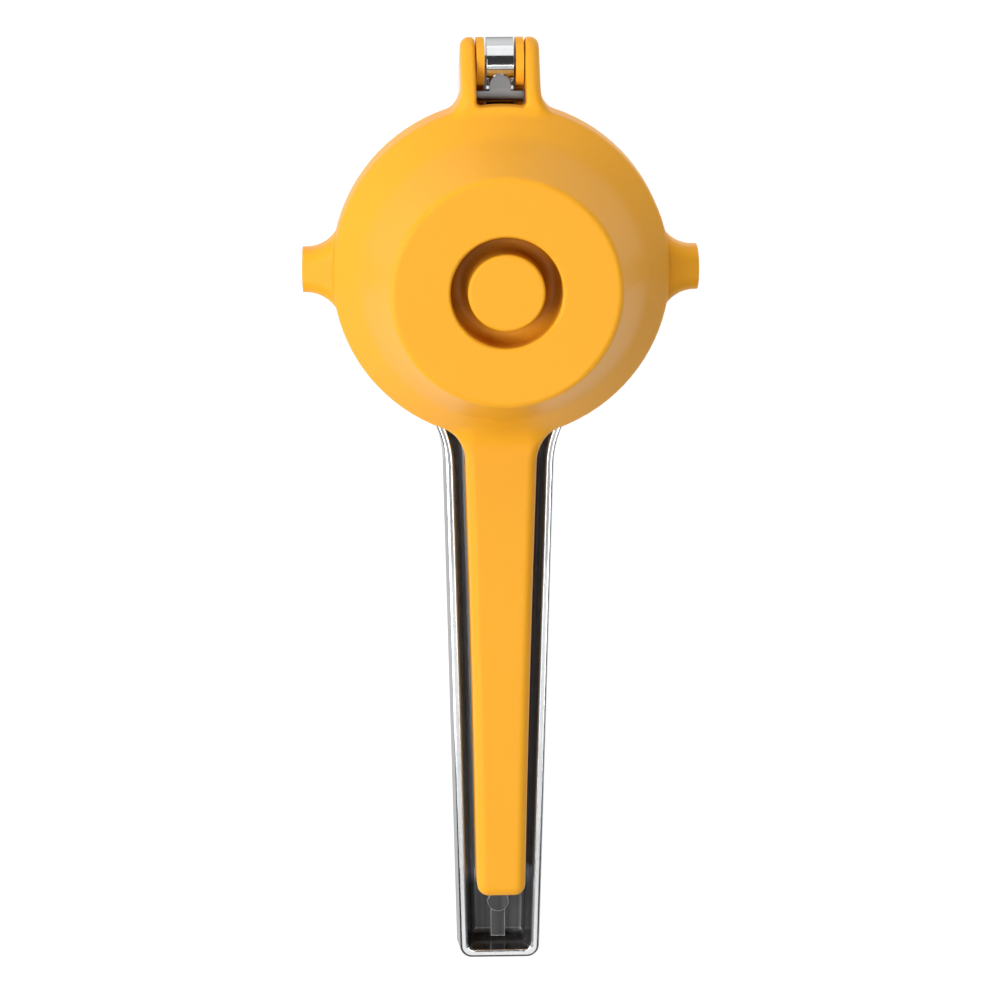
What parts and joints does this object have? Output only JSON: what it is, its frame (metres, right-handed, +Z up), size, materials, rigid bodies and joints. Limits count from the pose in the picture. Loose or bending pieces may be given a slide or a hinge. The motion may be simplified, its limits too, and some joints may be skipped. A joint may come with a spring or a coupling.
{
  "type": "lemon squeezer",
  "caption": "Hinged hand citrus squeezer: round nylon juice cup with side pour spouts and a tapered handle, closing on a chrome press arm with a channel handle and a domed press head.",
  "frame": {"origin": "on the floor, under the middle of the box around the whole part, which lies closed on the back of its press arm", "axes": "+X across the two spouts, +Y from the handle ends to the hinge, +Z up from the back of the press arm to the base of the cup"},
  "size_m": [0.0992, 0.2382, 0.0525],
  "materials": {
    "yellow_nylon": "satin moulded nylon",
    "chrome_plate": "polished chrome plate on a die casting",
    "steel": "plain steel, dull"
  },
  "bodies": {
    "press": {"press_arm": "chrome_plate", "press_head": "yellow_nylon", "press_head_screw": "steel"},
    "cup": {"cup_arm": "yellow_nylon", "strainer": "yellow_nylon", "hinge_pin": "steel"}
  },
  "joints": [
    {"name": "cup_hinge", "type": "hinge", "parent": "press", "child": "cup", "pos_m": [0, 0.11303, 0.012], "axis": [-1, 0, 0], "range_deg": [0, 120]}
  ]
}
